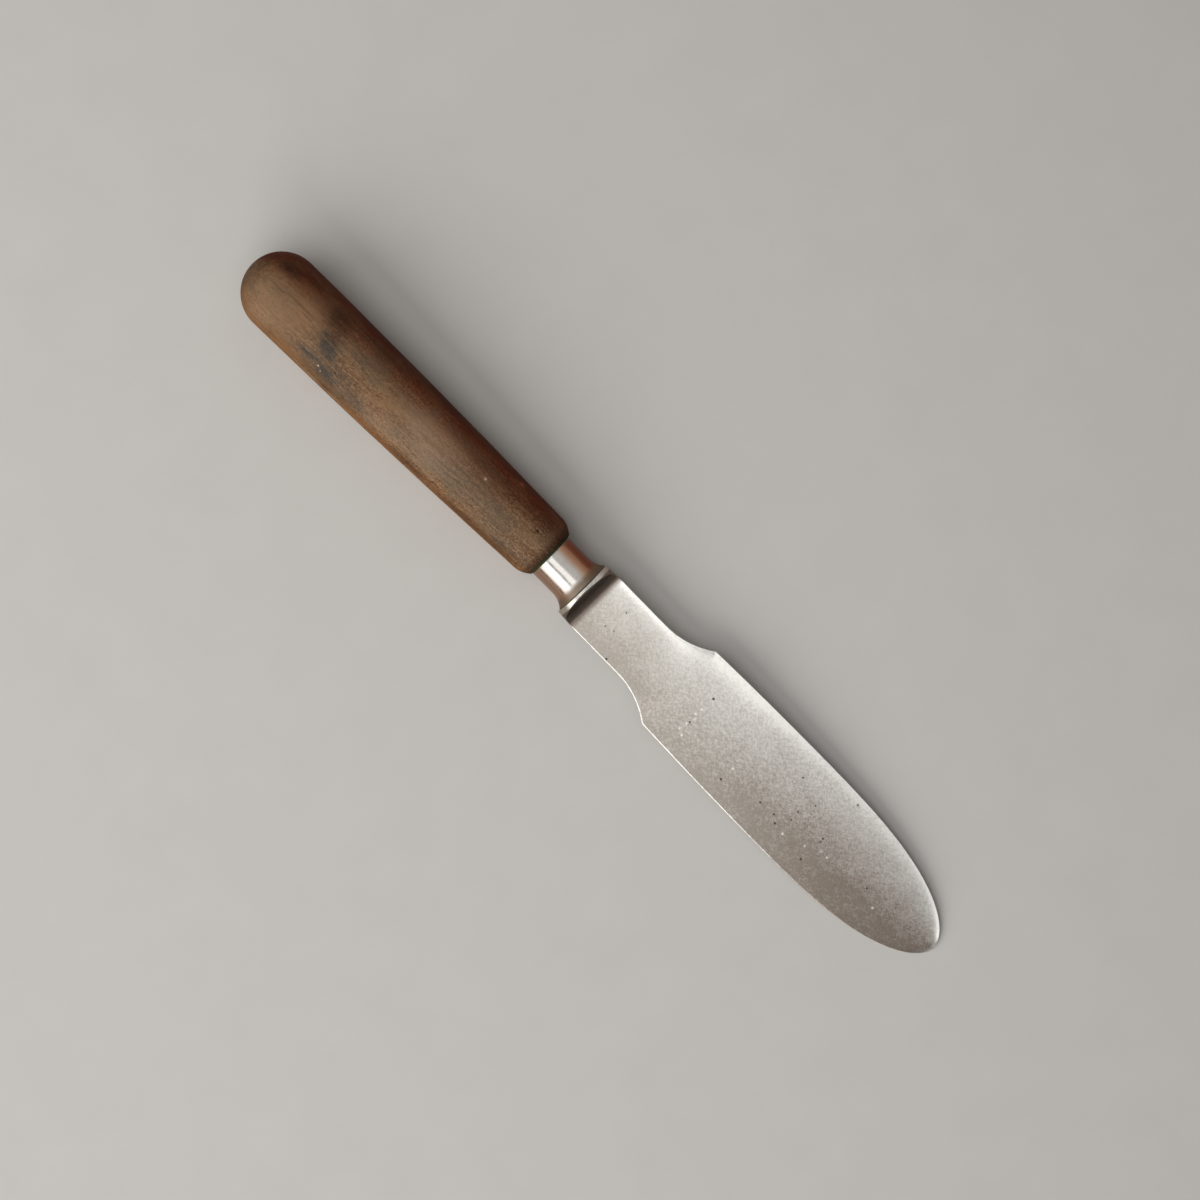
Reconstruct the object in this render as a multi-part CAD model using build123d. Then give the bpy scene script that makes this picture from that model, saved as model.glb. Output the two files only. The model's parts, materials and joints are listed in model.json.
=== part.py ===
from build123d import *
import math
import os

# A baker's hand scraper: a leaf-shaped steel blade with a forged bolster and a hidden tang,
# cemented into a turned wooden handle with a metal ferrule. Millimetres.
# Each piece is first made in the tool frame: origin at the centre of the bolster's back face,
# +X along the blade to its tip, +Z square to the blade. The last step lays the tool on a table.
# It lies on its blade's end and on the shoulder of the handle, which is round and leans to one side
# of the blade, so the whole tool rolls a little towards the lean before it comes to rest.

# Driving dimensions: lengths along X.
handle_length = 119.9
ferrule_length = 13.4
blade_length = 146.0
bolster_length = 5.4
neck_end = 24.6
cusp_x = 40.2
widest_x = 83.4

# Blade plan: half-widths.
neck_half_width = 9.9
cusp_half_width = 15.0
widest_half_width = 15.7
tip_roundness = (3.0, 0.54)
cusp_corner = 0.7

# Blade section: half-thicknesses, and how far the bevel reaches in from the outline.
neck_half_thickness = 1.15
tip_half_thickness = 0.5
edge_half_thickness = 0.3
bevel_top = 1.3
neck_bevel = 1.9
blade_bevel = 9.0

# Bolster: an oval collar with a cove that runs down to the neck.
bolster_back = (9.6, 8.0)
bolster_front = (9.9, 8.1)
cove_radius = 2.85
cove_wall_angle = 72.0
rim_round = 0.3

# Tang: a tapered bar, width and height at the bolster and at its end.
tang_root = (6.4, 4.6)
tang_end = (3.6, 3.0)
tang_length = 98.0

# Ferrule: a tube that flares at the bolster, through stations of
# (distance behind the bolster, half-width, half-height).
ferrule_offset = 0.25
ferrule_radius = 7.3
ferrule_bore_radius = 6.6
flare_stations = (
    (7.8, ferrule_radius, ferrule_radius),
    (6.6, ferrule_radius, ferrule_radius),
    (4.2, 7.38, 7.33),
    (2.4, 7.7, 7.44),
    (1.0, 8.35, 7.66),
    (0.0, 9.25, 7.9),
)

# Handle: a dome, a slightly bellied taper, a rounded shoulder and a spigot.
butt_radius = 11.95
shoulder_radius = 9.9
shoulder_length = 4.8
front_radius = 7.85
belly = 0.42
spigot_length = 9.5
bore_radius = 4.25
bore_depth = 90.0
bore_point = 2.4
handle_offset = 0.33
handle_lean = 1.33

resting_roll = 3.45

overlap = 1.5

handle_front_x = -ferrule_length
spigot_face_x = handle_front_x + spigot_length
handle_frame = Pos(handle_front_x, handle_offset, 0) * Rot(Z=handle_lean)


def cross_oval(x, half_width, half_height, centre_y=0.0):
    """An ellipse square to X."""
    section = Plane(origin=(x, centre_y, 0), x_dir=(0, 1, 0), z_dir=(1, 0, 0))
    return Wire.make_ellipse(half_width, half_height, section)


def bent_arc(start, end):
    """An arc that leaves start along +X and ends at end."""
    run = end[0] - start[0]
    rise = end[1] - start[1]
    radius = (run**2 + rise**2) / (2 * rise)
    middle_rise = radius - math.copysign(math.sqrt(radius**2 - (run / 2) ** 2), radius)
    return ThreePointArc(start, (start[0] + run / 2, start[1] + middle_rise), end)


def tip_curve(start, tip_x):
    """From the widest point round to the tip: half-width = start * (1 - t^n)^m."""
    power, roundness = tip_roundness
    steps = (0.0, 0.2, 0.4, 0.55, 0.68, 0.78, 0.86, 0.92, 0.96, 0.985, 0.997, 1.0)
    points = []
    for t in steps:
        x = start[0] + t * (tip_x - start[0])
        points.append((x, start[1] * (1 - t**power) ** roundness))
    return Spline(*points, tangents=[(1, 0), (0, -1)])


def plan_wire(z, start_x, neck, cusp, widest, tip_x):
    """The blade's outline at height z, from half-widths at the neck, the cusps and the widest point."""
    corner = (cusp_x, cusp)
    flare = bent_arc((neck_end, neck), corner)
    side_back = bent_arc((widest_x, widest), (2 * widest_x - cusp_x, cusp))
    before = flare @ (1 - cusp_corner / flare.length)
    after = side_back @ (1 - cusp_corner / side_back.length)
    after = (2 * widest_x - after.X, after.Y)
    flare_part = flare.trim(0, 1 - cusp_corner / flare.length)
    side_middle = side_back @ 0.5
    upper = [
        Line((start_x, neck), (neck_end, neck)),
        flare_part,
        Bezier((before.X, before.Y), corner, after),
        ThreePointArc(after, (2 * widest_x - side_middle.X, side_middle.Y), (widest_x, widest)),
        tip_curve((widest_x, widest), tip_x),
    ]
    lower = [edge.mirror(Plane.XZ) for edge in upper]
    heel = Line((start_x, -neck), (start_x, neck))
    edges = [edge.edge() for edge in [*upper, *lower, heel]]
    return Pos(0, 0, z) * Wire(edges)


def blade_plate():
    """The flat leaf with its bevels: a ruled body trimmed by the long wedge of its two faces."""
    start_x = bolster_length - overlap
    outer = (start_x, neck_half_width, cusp_half_width, widest_half_width, blade_length)
    inner = (
        start_x,
        neck_half_width - neck_bevel,
        cusp_half_width - blade_bevel,
        widest_half_width - blade_bevel,
        blade_length - blade_bevel,
    )
    body = Solid.make_loft(
        [
            plan_wire(-bevel_top, *inner),
            plan_wire(-edge_half_thickness, *outer),
            plan_wire(edge_half_thickness, *outer),
            plan_wire(bevel_top, *inner),
        ],
        ruled=True,
    )
    profile = Polyline(
        (start_x, -neck_half_thickness),
        (bolster_length, -neck_half_thickness),
        (blade_length, -tip_half_thickness),
        (blade_length, tip_half_thickness),
        (bolster_length, neck_half_thickness),
        (start_x, neck_half_thickness),
        close=True,
    )
    side_view = Plane.XZ * make_face(profile)
    wedge = extrude(side_view, amount=2 * widest_half_width, both=True)
    return body & wedge


def cove_cutter():
    """What the upper cove takes out of the bolster, as a bar along Y."""
    angle = math.radians(cove_wall_angle)
    root = (bolster_length, neck_half_thickness)
    foot = (
        bolster_length - cove_radius * math.sin(angle),
        neck_half_thickness + cove_radius * (1 - math.cos(angle)),
    )
    half = angle / 2
    middle = (
        bolster_length - cove_radius * math.sin(half),
        neck_half_thickness + cove_radius * (1 - math.cos(half)),
    )
    top_z = bolster_front[1] + overlap
    top_x = foot[0] - (top_z - foot[1]) / math.tan(angle)
    outline = [
        ThreePointArc(root, middle, foot),
        Line(foot, (top_x, top_z)),
        Line((top_x, top_z), (bolster_length + overlap, top_z)),
        Line((bolster_length + overlap, top_z), (bolster_length + overlap, root[1])),
        Line((bolster_length + overlap, root[1]), root),
    ]
    section = Plane.XZ * make_face(Wire([edge.edge() for edge in outline]))
    return extrude(section, amount=bolster_front[0] + overlap, both=True)


def bolster():
    """The oval collar, coved above and below."""
    block = Solid.make_loft(
        [
            cross_oval(0, *bolster_back),
            cross_oval(bolster_length, *bolster_front),
        ],
        ruled=True,
    )
    cutter = cove_cutter()
    coved = block - cutter - cutter.mirror(Plane.XY)
    back_edge = coved.edges().group_by(Axis.X)[0]
    return fillet(back_edge, rim_round)


def tang():
    """The tapered bar inside the handle, along the handle's own axis."""
    root_x = ferrule_length + rim_round
    root = Wire.make_rect(*tang_root, Plane.YZ.offset(root_x))
    end = Wire.make_rect(*tang_end, Plane.YZ.offset(root_x - tang_length))
    return handle_frame * Solid.make_loft([end, root], ruled=True)


def make_blade():
    return blade_plate() + bolster() + tang()


def handle_profile():
    """Half of the turned outline, in the handle's frame: x runs back from the front face."""
    butt_x = -handle_length + butt_radius
    shoulder_x = -shoulder_length
    middle = ((butt_x + shoulder_x) / 2, (butt_radius + shoulder_radius) / 2 + belly)
    diagonal = butt_radius * math.sqrt(0.5)
    dome = ThreePointArc(
        (-handle_length, 0),
        (butt_x - diagonal, diagonal),
        (butt_x, butt_radius),
    )
    side = ThreePointArc((butt_x, butt_radius), middle, (shoulder_x, shoulder_radius))
    shoulder = TangentArc(
        (shoulder_x, shoulder_radius),
        (0, front_radius),
        tangent=side % 1,
    )
    front = Line((0, front_radius), (0, 0))
    axis = Line((0, 0), (-handle_length, 0))
    return make_face(Wire([edge.edge() for edge in (dome, side, shoulder, front, axis)]))


def handle_bore():
    """The blind hole for the tang, with its drill point."""
    front = spigot_length + overlap
    outline = Polyline(
        (front, 0),
        (front, bore_radius),
        (-bore_depth, bore_radius),
        (-bore_depth - bore_point, 0),
        close=True,
    )
    return handle_frame * revolve(make_face(outline), Axis.X)


def ferrule_rod(radius, start_x, end_x):
    """A round rod on the ferrule's axis."""
    section = Plane((start_x, ferrule_offset, 0), x_dir=(0, 1, 0), z_dir=(1, 0, 0))
    return extrude(section * Circle(radius), amount=end_x - start_x)


def ferrule_bore(start_x, end_x):
    """A length of the hole through the ferrule."""
    return ferrule_rod(ferrule_bore_radius, start_x, end_x)


def make_handle():
    body = handle_frame * revolve(handle_profile(), Axis.X)
    spigot = ferrule_bore(handle_front_x - overlap, spigot_face_x)
    return body + spigot - handle_bore() - ferrule_bore(spigot_face_x, overlap)


def make_ferrule(handle):
    flare = Solid.make_loft([cross_oval(-x, y, z, ferrule_offset) for x, y, z in flare_stations])
    tube = ferrule_rod(ferrule_radius, handle_front_x - overlap, -flare_stations[0][0])
    sleeve = flare + tube - ferrule_bore(handle_front_x - 2 * overlap, overlap)
    return sleeve - handle


def make_cement(blade):
    cavity = handle_bore() + ferrule_bore(spigot_face_x, 0)
    return cavity - blade


def turned(pitch):
    """Rolled towards the handle's lean, then tipped down at the blade."""
    return Rot(Y=pitch) * Rot(X=resting_roll)


def lowest(shape, pitch):
    return (turned(pitch) * shape).bounding_box().min.Z


def resting_pitch(handle, blade):
    """The angle at which the handle and the blade touch the table together."""
    low, high = 1.0, 6.0
    while high - low > 1e-4:
        pitch = (low + high) / 2
        if lowest(handle, pitch) < lowest(blade, pitch):
            low = pitch
        else:
            high = pitch
    return (low + high) / 2


def laid_on_table(pieces):
    """Tips every piece to the resting pitch and puts the origin under the middle of the tool."""
    turn = turned(resting_pitch(pieces["handle"], pieces["blade"]))
    box = Compound([turn * pieces["handle"], turn * pieces["blade"]]).bounding_box()
    centre = box.center()
    return {name: Pos(-centre.X, -centre.Y, -box.min.Z) * turn * piece for name, piece in pieces.items()}


blade = make_blade()
handle = make_handle()
tool = {
    "blade": blade,
    "ferrule": make_ferrule(handle),
    "handle": handle,
    "cement_fill": make_cement(blade),
}

os.makedirs("parts", exist_ok=True)
for name, piece in laid_on_table(tool).items():
    export_step(piece, f"parts/{name}.step")
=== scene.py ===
import json
import math

import bpy
import numpy as np
from mathutils import Matrix, Vector, noise


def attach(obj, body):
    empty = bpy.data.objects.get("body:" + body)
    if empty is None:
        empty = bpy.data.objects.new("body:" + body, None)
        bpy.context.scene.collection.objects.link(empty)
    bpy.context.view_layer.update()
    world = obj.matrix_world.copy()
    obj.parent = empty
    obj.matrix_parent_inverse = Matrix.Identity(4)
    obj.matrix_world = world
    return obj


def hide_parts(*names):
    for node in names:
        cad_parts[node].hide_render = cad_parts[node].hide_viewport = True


# A baker's hand scraper lying on a pale table, seen from straight above.
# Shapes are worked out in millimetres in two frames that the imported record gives:
# the tool frame (origin at the centre of the bolster's back face, +X to the tip, +Z square to the
# blade) and the handle frame (origin at the middle of the handle's front face, +X along its axis).

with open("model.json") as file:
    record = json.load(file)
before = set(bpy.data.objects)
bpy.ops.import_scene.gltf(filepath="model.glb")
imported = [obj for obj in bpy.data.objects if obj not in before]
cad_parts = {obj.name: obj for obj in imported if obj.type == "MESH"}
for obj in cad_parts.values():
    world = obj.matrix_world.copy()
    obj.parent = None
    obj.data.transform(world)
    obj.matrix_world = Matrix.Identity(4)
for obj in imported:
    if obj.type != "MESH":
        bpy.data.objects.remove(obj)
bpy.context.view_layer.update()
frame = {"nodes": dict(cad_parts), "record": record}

MM = 0.001

# The blade, as in the CAD model.
BOLSTER_LENGTH = 5.4
NECK_END = 24.6
CUSP_X = 40.2
WIDEST_X = 83.4
BLADE_LENGTH = 146.0
NECK_HALF = 9.9
CUSP_HALF = 15.0
WIDEST_HALF = 15.7
TIP_POWER, TIP_ROUNDNESS = 3.0, 0.54
NECK_THICK, TIP_THICK = 1.15, 0.5
EDGE_ROUND, EDGE_SLOPE_WIDTH = 0.12, 0.34
BOLSTER_BACK = (9.6, 8.0)
BOLSTER_FRONT = (9.9, 8.1)
BACK_ROUND = 0.3
COVE_RADIUS, COVE_ANGLE = 2.85, math.radians(72)
TANG_ROOT = (3.2, 2.3)
TANG_END = (1.8, 1.5)
TANG_LENGTH = 97.7

# The ferrule and the handle.
FERRULE_LENGTH = 13.4
FERRULE_OFFSET = 0.25
FERRULE_BORE = 6.6
FERRULE_RADIUS = 7.3
FLARE_LENGTH = 6.6
FLARE_WIDTH, FLARE_HEIGHT = 9.25, 7.9
HANDLE_LENGTH = 119.9
BUTT_RADIUS = 11.95
SHOULDER_RADIUS, SHOULDER_LENGTH = 9.9, 4.8
FRONT_RADIUS = 7.85
BELLY = 0.42
SPIGOT_LENGTH = 9.5
BORE_RADIUS, BORE_DEPTH, BORE_POINT = 4.25, 90.0, 2.4


# ---------------------------------------------------------------- frames

def record_mount(name):
    """A mount's place in metres and its axis, both in the row frame."""
    found = [m for m in frame["record"]["mounts"] if m["name"] == name][0]
    return Vector(found["pos_m"]), Vector(found["axis"])


def axes_frame(x_axis, z_axis, origin):
    """A 4x4 matrix from its X and Z axes and its origin."""
    y_axis = z_axis.cross(x_axis)
    turn = Matrix((x_axis, y_axis, z_axis)).transposed()
    return Matrix.Translation(origin) @ turn.to_4x4()


def find_frames():
    """The tool frame and the handle frame, from the mounts on the blade and on the handle."""
    top, top_axis = record_mount("blade_flat")
    under, under_axis = record_mount("blade_underside")
    grip, grip_axis = record_mount("grip")
    tool_z = (top_axis - under_axis).normalized()
    tool_x = Vector((0, 1, 0)).cross(tool_z).normalized()
    flat_station = 75.0 * MM
    tool = axes_frame(tool_x, tool_z, (top + under) / 2 - flat_station * tool_x)
    grip_station = 60.0 * MM
    handle_z = (tool_z - tool_z.dot(grip_axis) * grip_axis).normalized()
    handle = axes_frame(grip_axis.normalized(), handle_z, grip + grip_station * grip_axis)
    return tool, handle


tool_frame, handle_frame = find_frames()
handle_to_tool = tool_frame.inverted() @ handle_frame


# ---------------------------------------------------------------- mesh helpers

def smoothstep(low, high, value):
    """0 at low and 1 at high, eased between; low may be the larger of the two."""
    t = np.clip((np.asarray(value, float) - low) / (high - low), 0, 1)
    return t * t * (3 - 2 * t)


def smooth_min(a, b, blend):
    """The smaller of a and b, with the corner between them rounded over about blend."""
    h = np.clip(0.5 + 0.5 * (b - a) / blend, 0, 1)
    return b + (a - b) * h - blend * h * (1 - h)


def wobble(points, size, seed):
    """Smooth noise from -1 to 1 at points in millimetres, in lumps about size across."""
    shift = Vector((17.3 * seed, 5.1 * seed, 9.7 * seed))
    scale = Vector((1 / size[0], 1 / size[1], 1 / size[2]))
    return np.array([noise.noise(Vector(p) * scale + shift) for p in points])


def loft(name, rings, start=None, end=None, closed=False):
    """A mesh from rings of equally many points, in millimetres. start and end are points that close
    its ends; closed joins the last ring to the first. Returns the object and its points."""
    count = len(rings[0])
    points = [p for ring in rings for p in ring]
    faces = []
    pairs = [(i, i + 1) for i in range(len(rings) - 1)]
    if closed:
        pairs.append((len(rings) - 1, 0))
    for a, b in pairs:
        for j in range(count):
            k = (j + 1) % count
            faces.append((a * count + j, b * count + j, b * count + k, a * count + k))
    for pole, ring, flip in ((start, 0, False), (end, len(rings) - 1, True)):
        if pole is None:
            continue
        points.append(pole)
        for j in range(count):
            k = (j + 1) % count
            pair = (ring * count + k, ring * count + j) if flip else (ring * count + j, ring * count + k)
            faces.append((len(points) - 1, *pair))
    mesh = bpy.data.meshes.new(name)
    mesh.from_pydata([tuple(p) for p in points], [], faces)
    obj = bpy.data.objects.new(name, mesh)
    bpy.context.scene.collection.objects.link(obj)
    return obj, np.array([tuple(p) for p in points])


def store(obj, name, values):
    """A number or a vector for each vertex, which the materials read."""
    values = np.asarray(values, np.float32)
    kind = "FLOAT" if values.ndim == 1 else "FLOAT_VECTOR"
    layer = obj.data.attributes.new(name, kind, "POINT")
    layer.data.foreach_set("value" if kind == "FLOAT" else "vector", values.ravel())


def settle(obj, matrix, material, sharp=50):
    """Puts a mesh made in millimetres in its place in the row frame, smooth shaded."""
    obj.data.transform(matrix @ Matrix.Scale(MM, 4))
    obj.data.polygons.foreach_set("use_smooth", [True] * len(obj.data.polygons))
    obj.data.set_sharp_from_angle(angle=math.radians(sharp))
    obj.data.materials.append(material)
    obj.data.update()


# ---------------------------------------------------------------- material helpers

class Shader:
    """One material's node tree, with a short call for each kind of node."""

    def __init__(self, name, **fixed):
        self.material = bpy.data.materials.new(name)
        self.material.use_nodes = True
        self.tree = self.material.node_tree
        self.surface = self.tree.nodes["Principled BSDF"]
        for socket, value in fixed.items():
            self.surface.inputs[socket.replace("_", " ")].default_value = value

    def link(self, value, socket):
        """Joins another node's output to socket, or sets socket to a plain value."""
        if isinstance(value, bpy.types.NodeSocket):
            self.tree.links.new(value, socket)
        else:
            socket.default_value = value

    def node(self, kind, inputs=(), out=0, **settings):
        """Adds a node with its inputs and settings, and returns one of its outputs."""
        made = self.tree.nodes.new("ShaderNode" + kind)
        for key, value in settings.items():
            setattr(made, key, value)
        for key, value in dict(inputs).items():
            self.link(value, made.inputs[key])
        return made.outputs[out]

    def value(self, name):
        """A number that the mesh stores for each vertex."""
        return self.node("Attribute", attribute_name=name, out="Fac")

    def place(self):
        """The place in millimetres that the mesh stores for each vertex."""
        return self.node("Attribute", attribute_name="place", out="Vector")

    def axis(self, vector, name):
        """One part of a vector, X, Y or Z."""
        return self.node("SeparateXYZ", {0: vector}, out=name)

    def stretch(self, vector, scale, turn=(0, 0, 0)):
        """vector turned and then scaled, for a texture that runs longer one way."""
        turned = self.node("Mapping", {"Vector": vector, "Rotation": turn})
        return self.node("Mapping", {"Vector": turned, "Scale": scale})

    def noise(self, vector, scale=1.0, detail=3.0, roughness=0.5, distortion=0.0):
        sockets = {"Vector": vector, "Scale": scale, "Detail": detail, "Roughness": roughness}
        return self.node("TexNoise", {**sockets, "Distortion": distortion})

    def cells(self, vector, scale, randomness=1.0):
        """Distance to the nearest of many scattered points."""
        sockets = {"Vector": vector, "Scale": scale, "Randomness": randomness}
        return self.node("TexVoronoi", sockets, feature="F1")

    def math(self, operation, a, b=0.0, clamp=False):
        return self.node("Math", {0: a, 1: b}, operation=operation, use_clamp=clamp)

    def add(self, a, b):
        return self.math("ADD", a, b)

    def times(self, a, b):
        return self.math("MULTIPLY", a, b)

    def flat_distance(self, place, centre):
        """Distance from centre, with differences in Z counted at a quarter of their size."""
        gap = self.node("VectorMath", {0: place, 1: centre}, operation="SUBTRACT")
        gap = self.node("VectorMath", {0: gap, 1: (1.0, 1.0, 0.25)}, operation="MULTIPLY")
        return self.node("VectorMath", {0: gap}, out="Value", operation="LENGTH")

    def blend(self, share, a, b):
        """The number a where share is 0, and b where it is 1."""
        return self.add(a, self.times(share, self.math("SUBTRACT", b, a)))

    def span(self, value, low, high, to_low=0.0, to_high=1.0):
        """value, eased from low..high to to_low..to_high."""
        sockets = {"Value": value, "From Min": low, "From Max": high, "To Min": to_low, "To Max": to_high}
        return self.node("MapRange", sockets, interpolation_type="SMOOTHSTEP")

    def mix(self, share, a, b, blend="MIX"):
        """Colour b laid over colour a by share. A Mix node's colours are inputs 6 and 7, and output 2."""
        made = self.tree.nodes.new("ShaderNodeMix")
        made.data_type = "RGBA"
        made.blend_type = blend
        self.link(share, made.inputs["Factor"])
        self.link(a, made.inputs[6])
        self.link(b, made.inputs[7])
        return made.outputs[2]

    def ramp(self, value, *stops):
        """A colour from stops of (position, colour)."""
        made = self.tree.nodes.new("ShaderNodeValToRGB")
        self.link(value, made.inputs["Fac"])
        elements = made.color_ramp.elements
        while len(elements) < len(stops):
            elements.new(0.5)
        for element, (position, colour) in zip(elements, stops):
            element.position = position
            element.color = colour
        return made.outputs["Color"]

    def bump(self, *layers):
        """Stacks bumps one on the other, each a height and the millimetres that a height of 1 means."""
        normal = None
        for height, depth in layers:
            sockets = {"Height": height, "Distance": depth * MM, "Strength": 1.0}
            if normal is not None:
                sockets["Normal"] = normal
            normal = self.node("Bump", sockets)
        self.link(normal, self.surface.inputs["Normal"])

    def set(self, socket, value):
        self.link(value, self.surface.inputs[socket])


def rgb(red, green, blue):
    return (red, green, blue, 1.0)


# ---------------------------------------------------------------- blade

def blade_half_width(x):
    """The outline's half-width at x: neck, curved shoulder, cusp, long side and rounded end."""
    if x > WIDEST_X:
        t = (x - WIDEST_X) / (BLADE_LENGTH - WIDEST_X)
        return WIDEST_HALF * max(1 - t**TIP_POWER, 0) ** TIP_ROUNDNESS
    run, rise = CUSP_X - NECK_END, CUSP_HALF - NECK_HALF
    flare_radius = (run**2 + rise**2) / (2 * rise)
    ahead = min(max(x - NECK_END, 0), flare_radius)
    flare = NECK_HALF + flare_radius - math.sqrt(flare_radius**2 - ahead**2)
    run, rise = WIDEST_X - CUSP_X, WIDEST_HALF - CUSP_HALF
    side_radius = (run**2 + rise**2) / (2 * rise)
    side = WIDEST_HALF - side_radius + math.sqrt(side_radius**2 - (WIDEST_X - x) ** 2)
    return float(smooth_min(flare, side, blend=0.06))


def blade_outline():
    """Points along one side of the outline, closely spaced, and their mirror images."""
    start_x = -4.0
    ease = np.linspace(0, 1, 900)
    xs = BLADE_LENGTH - (BLADE_LENGTH - start_x) * (1 - ease) ** 1.6
    upper = np.array([(x, blade_half_width(x)) for x in xs])
    return np.concatenate([upper, upper * (1, -1)])


def leaf_height(x, y, inside):
    """Half-thickness of the leaf: flat in the middle, crowned towards its outline, with a small
    round all along the edge and a narrow worn slope on the -Y side."""
    t = (x - BOLSTER_LENGTH) / (BLADE_LENGTH - BOLSTER_LENGTH)
    thick = NECK_THICK + (TIP_THICK - NECK_THICK) * t
    past_neck = smoothstep(26, 42, x)
    to_tip = smoothstep(70, 142, x)
    reach = 1.6 + 5.2 * past_neck - 4.4 * to_tip
    crown = 0.06 + 0.14 * past_neck - 0.12 * to_tip
    share = np.clip(inside / reach, 0, 1)
    body = thick - crown * (1 - share) ** 2
    worn = smoothstep(1.0, -1.0, y) * (1 - 0.55 * smoothstep(72, 100, x)) * smoothstep(132, 112, x)
    slope = 0.44 * np.clip(EDGE_SLOPE_WIDTH - inside, 0, EDGE_SLOPE_WIDTH) * worn
    rim = np.clip(inside / EDGE_ROUND, 0, 1)
    return body - slope - EDGE_ROUND * (1 - np.sqrt(1 - (1 - rim) ** 2))


def turned_up(x, inside):
    """How far the upper face rises towards the blade's +Y edge, which is turned up slightly."""
    reach = 2.3 + 5.0 * smoothstep(24, 40, x) - 4.6 * smoothstep(50, 130, x)
    slope = 0.26 - 0.10 * smoothstep(24, 42, x) + 0.07 * smoothstep(90, 120, x)
    share = np.clip(1 - inside / reach, 0, 1)
    return slope * reach / 3 * share**3


def cove_height(x):
    """Height of the cove's surface at x: a steep wall, then an arc that ends level on the neck."""
    foot_x = BOLSTER_LENGTH - COVE_RADIUS * math.sin(COVE_ANGLE)
    foot_z = NECK_THICK + COVE_RADIUS * (1 - math.cos(COVE_ANGLE))
    if x < foot_x:
        return foot_z + (foot_x - x) * math.tan(COVE_ANGLE)
    back = BOLSTER_LENGTH - min(x, BOLSTER_LENGTH)
    return NECK_THICK + COVE_RADIUS - math.sqrt(COVE_RADIUS**2 - back**2)


def collar_halves(x):
    """Half-width and half-height of the oval collar at x."""
    t = min(x / BOLSTER_LENGTH, 1)
    return [back + (front - back) * t for back, front in zip(BOLSTER_BACK, BOLSTER_FRONT)]


def bolster_height(x, y):
    """Half-height of the collar at x and y, with its cove cut away."""
    half_width, half_height = collar_halves(x)
    oval = half_height * np.sqrt(np.clip(1 - (y / half_width) ** 2, 0, 1))
    return smooth_min(oval, cove_height(x), blend=0.45)


def back_inset(x):
    """How far the collar's outline is drawn in at x by the rounding of its back edge."""
    return BACK_ROUND - math.sqrt(BACK_ROUND**2 - (BACK_ROUND - min(x, BACK_ROUND)) ** 2)


def blade_section(x, spread, outline):
    """y and half-height of the blade at x, for the shares spread of its half-width, +1 to -1.
    The collar passes into the leaf between leaf_start and leaf_end."""
    leaf_start, leaf_end = BOLSTER_LENGTH - 1.2, BOLSTER_LENGTH + 0.8
    if x < BOLSTER_LENGTH:
        inset = back_inset(x)
        half_width = collar_halves(x)[0]
        y = spread * half_width
        height = bolster_height(x, y) * (1 - inset / BOLSTER_BACK[1])
        y = y * (1 - inset / half_width)
    else:
        y = spread * blade_half_width(x)
        just_inside = BOLSTER_FRONT[0] - 0.001
        height = bolster_height(BOLSTER_LENGTH, np.clip(y, -just_inside, just_inside))
    if x > leaf_start:
        inside = np.hypot(outline[:, :1] - x, outline[:, 1:] - y).min(0)
        inside[[0, -1]] = 0
        leaf = leaf_height(x, y, inside)
        height = height + (leaf - height) * smoothstep(leaf_start, leaf_end, x)
    height[[0, -1]] = 0
    return y, height


def blade_stations():
    """Places along X, closest together where the section changes most."""
    back_edge = [0.0, 0.02, 0.05, 0.1, 0.16, 0.23, BACK_ROUND]
    collar = np.arange(0.4, 6.6, 0.075)
    neck = np.arange(6.7, 38.6, 0.5)
    cusps = np.arange(38.8, 41.8, 0.14)
    leaf = np.arange(42.1, 132.0, 0.55)
    tip_start = 132.3
    ease = np.linspace(0, 1, 60)[:-1]
    tip = BLADE_LENGTH - (BLADE_LENGTH - tip_start) * (1 - ease) ** 2
    return np.concatenate([back_edge, collar, neck, cusps, leaf, tip])


def blade_painted_sheen(points, inside):
    """Painted reflections and highlights on the steel, as how bright it shows: darker towards the -Y side,
    with a painted highlight band at the +Y edge, a painted highlight rim towards the tip and a painted
    highlight line at the -Y edge."""
    x, y = points[:, 0], points[:, 1]
    half = np.array([blade_half_width(min(max(v, BOLSTER_LENGTH), BLADE_LENGTH)) for v in x])
    across = np.clip(y / np.maximum(half, 9), -1, 1)
    level = 0.22 + 0.10 * smoothstep(22, 38, x) - 0.09 * smoothstep(50, 92, x)
    tilt = 0.28 + 0.16 * smoothstep(45, 92, x) + 0.06 * smoothstep(90, 112, x)
    reach = 1.3 + 1.5 * smoothstep(26, 38, x) - 1.3 * smoothstep(48, 90, x) + 0.3 * smoothstep(92, 112, x)
    upper = 0.85 * np.exp(-inside / reach) * smoothstep(-1.0, 4.0, y)
    rim = 0.6 * np.exp(-((inside / 0.5) ** 2)) * smoothstep(70, 110, x) * smoothstep(-8.0, 1.0, y)
    lower = 0.55 * np.exp(-((inside / 0.38) ** 4)) * smoothstep(130, 84, x) * smoothstep(2.0, -2.0, y)
    on_leaf = np.clip(level + tilt * across + upper + rim + lower, 0, 1)
    on_collar = 0.4
    return np.where(x > BOLSTER_LENGTH, on_leaf, on_collar)


def slice_ring(x, y, height, centre=0.0):
    """One ring of the blade's mesh: over its upper side from +Y to -Y, and back underneath."""
    top = np.stack([np.full(len(y), x), y + centre, height], 1)
    bottom = top[-2:0:-1] * (1, 1, -1)
    return np.concatenate([top, bottom])


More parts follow.
